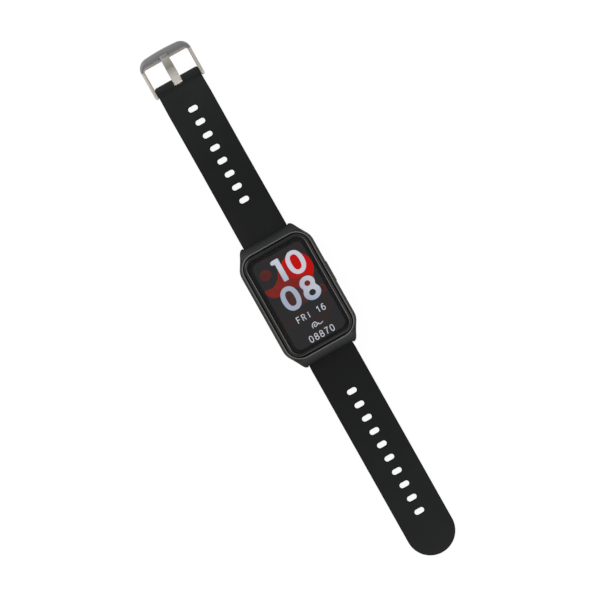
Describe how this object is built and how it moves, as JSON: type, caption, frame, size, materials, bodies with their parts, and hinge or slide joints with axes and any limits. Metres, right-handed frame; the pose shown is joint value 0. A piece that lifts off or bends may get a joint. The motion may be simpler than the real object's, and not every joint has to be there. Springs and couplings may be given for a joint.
{
  "type": "smartwatch",
  "caption": "Rectangular smartwatch with chamfered case corners, a colour touch display, a side button, and a slotted silicone strap with a steel pin buckle.",
  "frame": {"origin": "centre of the flat sensor window under the case, on the plane that the watch rests on", "axes": "+Z out of the display, +Y towards 12 o'clock and the buckle, +X towards 3 o'clock and the side button"},
  "size_m": [0.0329, 0.2304, 0.0105],
  "materials": {
    "cover_glass": "clear, gloss",
    "display_panel": "gloss",
    "white_film": "satin",
    "adhesive": "matte",
    "flex_cable": "satin",
    "case_metal": "satin",
    "frame_plastic": "matte",
    "back_plastic": "fine matte",
    "circuit_board": "solder mask, satin",
    "chip_package": "matte",
    "tinned_steel": "satin",
    "antenna_foil": "satin",
    "battery_pouch": "satin",
    "button_metal": "satin",
    "seal_rubber": "matte",
    "gasket_rubber": "matte",
    "sensor_lens": "gloss",
    "led_lens": "gloss",
    "gold_contact": "polished",
    "magnet_plate": "satin",
    "strap_silicone": "fine matte",
    "bar_steel": "satin",
    "spring_wire": "bright",
    "buckle_steel": "satin"
  },
  "bodies": {
    "case": {"cover_glass": "cover_glass", "glass_adhesive": "adhesive", "display_panel": "display_panel", "backlight": "white_film", "display_flex": "flex_cable", "case_shell": "case_metal", "inner_frame": "frame_plastic", "main_board": "circuit_board", "processor": "chip_package", "memory_chip": "chip_package", "motion_sensor": "chip_package", "shield_can": "tinned_steel", "antenna": "antenna_foil", "battery": "battery_pouch", "battery_lead": "flex_cable", "vibration_motor": "tinned_steel", "button_seal": "seal_rubber", "button_switch": "tinned_steel", "back_cover": "back_plastic", "back_gasket": "gasket_rubber", "sensor_window": "sensor_lens", "sensor_board": "circuit_board", "sensor_flex": "flex_cable", "sensor_leds": "led_lens", "photodiode": "chip_package", "light_barrier": "seal_rubber", "charging_pins": "gold_contact", "charging_magnets": "magnet_plate", "back_screws": "tinned_steel"},
    "button": {"side_button": "button_metal", "button_clip": "tinned_steel", "switch_plunger": "chip_package"},
    "upper_band": {"upper_strap": "strap_silicone", "upper_bar_tube": "bar_steel", "upper_bar_fixed_tip": "bar_steel", "upper_bar_spring": "spring_wire", "buckle_bar_tube": "bar_steel", "buckle_bar_fixed_tip": "bar_steel", "buckle_bar_spring": "spring_wire"},
    "upper_release": {"upper_bar_sliding_tip": "bar_steel"},
    "lower_band": {"lower_strap": "strap_silicone", "lower_bar_tube": "bar_steel", "lower_bar_fixed_tip": "bar_steel", "lower_bar_spring": "spring_wire"},
    "lower_release": {"lower_bar_sliding_tip": "bar_steel"},
    "buckle": {"buckle_frame": "buckle_steel"},
    "tongue": {"buckle_tongue": "buckle_steel"},
    "buckle_release": {"buckle_bar_sliding_tip": "bar_steel"}
  },
  "joints": [
    {"name": "side_button_press", "type": "slide", "parent": "case", "child": "button", "axis": [1, 0, 0], "range_m": [-0.0002, 0], "stiffness_N_per_m": 1500, "springref_m": 0.0001},
    {"name": "upper_strap_swing", "type": "hinge", "parent": "case", "child": "upper_band", "pos_m": [0, 0.024, 0.0036], "axis": [1, 0, 0], "range_deg": [-80, 12]},
    {"name": "lower_strap_swing", "type": "hinge", "parent": "case", "child": "lower_band", "pos_m": [0, -0.024, 0.0036], "axis": [-1, 0, 0], "range_deg": [-80, 12]},
    {"name": "upper_bar_release", "type": "slide", "parent": "upper_band", "child": "upper_release", "axis": [1, 0, 0], "range_m": [-0.00105, 0], "stiffness_N_per_m": 400, "springref_m": 0.0008, "deforming": ["upper_bar_spring"]},
    {"name": "lower_bar_release", "type": "slide", "parent": "lower_band", "child": "lower_release", "axis": [1, 0, 0], "range_m": [-0.00105, 0], "stiffness_N_per_m": 400, "springref_m": 0.0008, "deforming": ["lower_bar_spring"]},
    {"name": "buckle_swing", "type": "hinge", "parent": "upper_band", "child": "buckle", "pos_m": [0, 0.098, 0.0019], "axis": [1, 0, 0], "range_deg": [-80, 30]},
    {"name": "tongue_swing", "type": "hinge", "parent": "buckle", "child": "tongue", "pos_m": [0, 0.098, 0.0019], "axis": [1, 0, 0], "range_deg": [0, 50]},
    {"name": "buckle_bar_release", "type": "slide", "parent": "upper_band", "child": "buckle_release", "axis": [1, 0, 0], "range_m": [-0.00095, 0], "stiffness_N_per_m": 400, "springref_m": 0.0008, "deforming": ["buckle_bar_spring"]}
  ]
}
